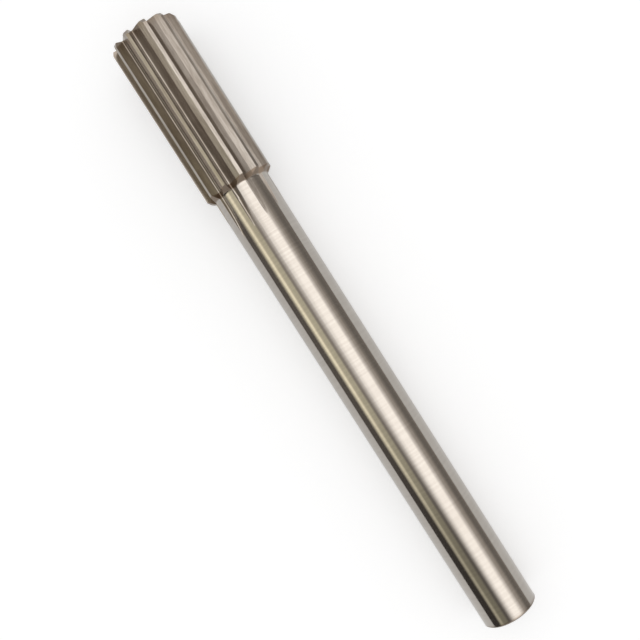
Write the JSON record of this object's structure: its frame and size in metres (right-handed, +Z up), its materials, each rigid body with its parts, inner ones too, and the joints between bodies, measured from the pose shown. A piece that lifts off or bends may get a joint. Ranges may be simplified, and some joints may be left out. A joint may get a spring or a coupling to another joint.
{
  "type": "machine reamer",
  "caption": "Straight-fluted machine reamer: cutting head with unequally spaced teeth on a plain cylindrical shank, lying on its side.",
  "frame": {"origin": "centre of the bounding box's bottom, on the surface the tool lies on", "axes": "+Z up; +X along the tool, from the tip of the teeth towards the shank's end"},
  "size_m": [0.2262, 0.024, 0.0244],
  "materials": {
    "steel": "fine ground tool steel, worn bright with a slight brown stain"
  },
  "bodies": {
    "root": {"reamer": "steel"}
  },
  "joints": []
}
